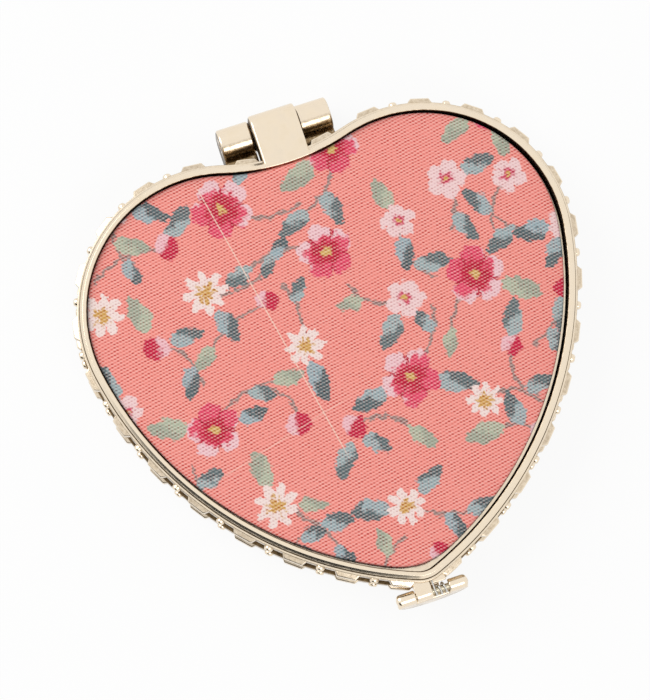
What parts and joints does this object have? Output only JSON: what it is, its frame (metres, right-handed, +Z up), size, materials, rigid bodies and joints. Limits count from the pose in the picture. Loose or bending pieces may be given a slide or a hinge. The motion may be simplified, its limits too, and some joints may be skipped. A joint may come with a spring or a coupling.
{
  "type": "heart-shaped folding compact mirror",
  "caption": "Heart-shaped folding pocket mirror with padded floral fabric faces in cast metal frames, a bar-and-dot edge, a barrel hinge at the cleft and a sprung clasp at the point.",
  "frame": {"origin": "on the table under the middle of the closed mirror's box", "axes": "+Z up through the lid, +Y towards the hinge at the heart's cleft, +X towards the right lobe"},
  "size_m": [0.0682, 0.069, 0.009],
  "materials": {
    "plated_metal": "polished pale gold plating on a casting",
    "printed_fabric": "ribbed cotton with a small floral print",
    "foam": "soft foam",
    "board": "grey board",
    "adhesive_tape": "double-sided tape",
    "mirror_glass": "silvered glass",
    "pin_steel": "drawn wire",
    "spring_steel": "bright spring wire"
  },
  "bodies": {
    "base": {"base_frame": "plated_metal", "base_panel_tape": "adhesive_tape", "base_panel_board": "board", "base_foam_pad": "foam", "base_fabric": "printed_fabric", "base_mirror_tape": "adhesive_tape", "base_mirror": "mirror_glass", "hinge_pin": "pin_steel"},
    "lid": {"lid_frame": "plated_metal", "lid_panel_tape": "adhesive_tape", "lid_panel_board": "board", "lid_foam_pad": "foam", "lid_fabric": "printed_fabric", "lid_mirror_tape": "adhesive_tape", "lid_mirror": "mirror_glass", "clasp_pin": "pin_steel", "clasp_spring": "spring_steel"},
    "clasp": {"clasp_lever": "plated_metal"}
  },
  "joints": [
    {"name": "lid_hinge", "type": "hinge", "parent": "base", "child": "lid", "pos_m": [0, 0.03225, 0.0045], "axis": [-1, 0, 0], "range_deg": [0, 180]},
    {"name": "clasp_hinge", "type": "hinge", "parent": "lid", "child": "clasp", "pos_m": [0, -0.03299, 0.0065], "axis": [-1, 0, 0], "range_deg": [0, 75], "stiffness_Nm_per_rad": 0.002, "springref_deg": -28.65, "deforming": ["clasp_spring"]}
  ]
}
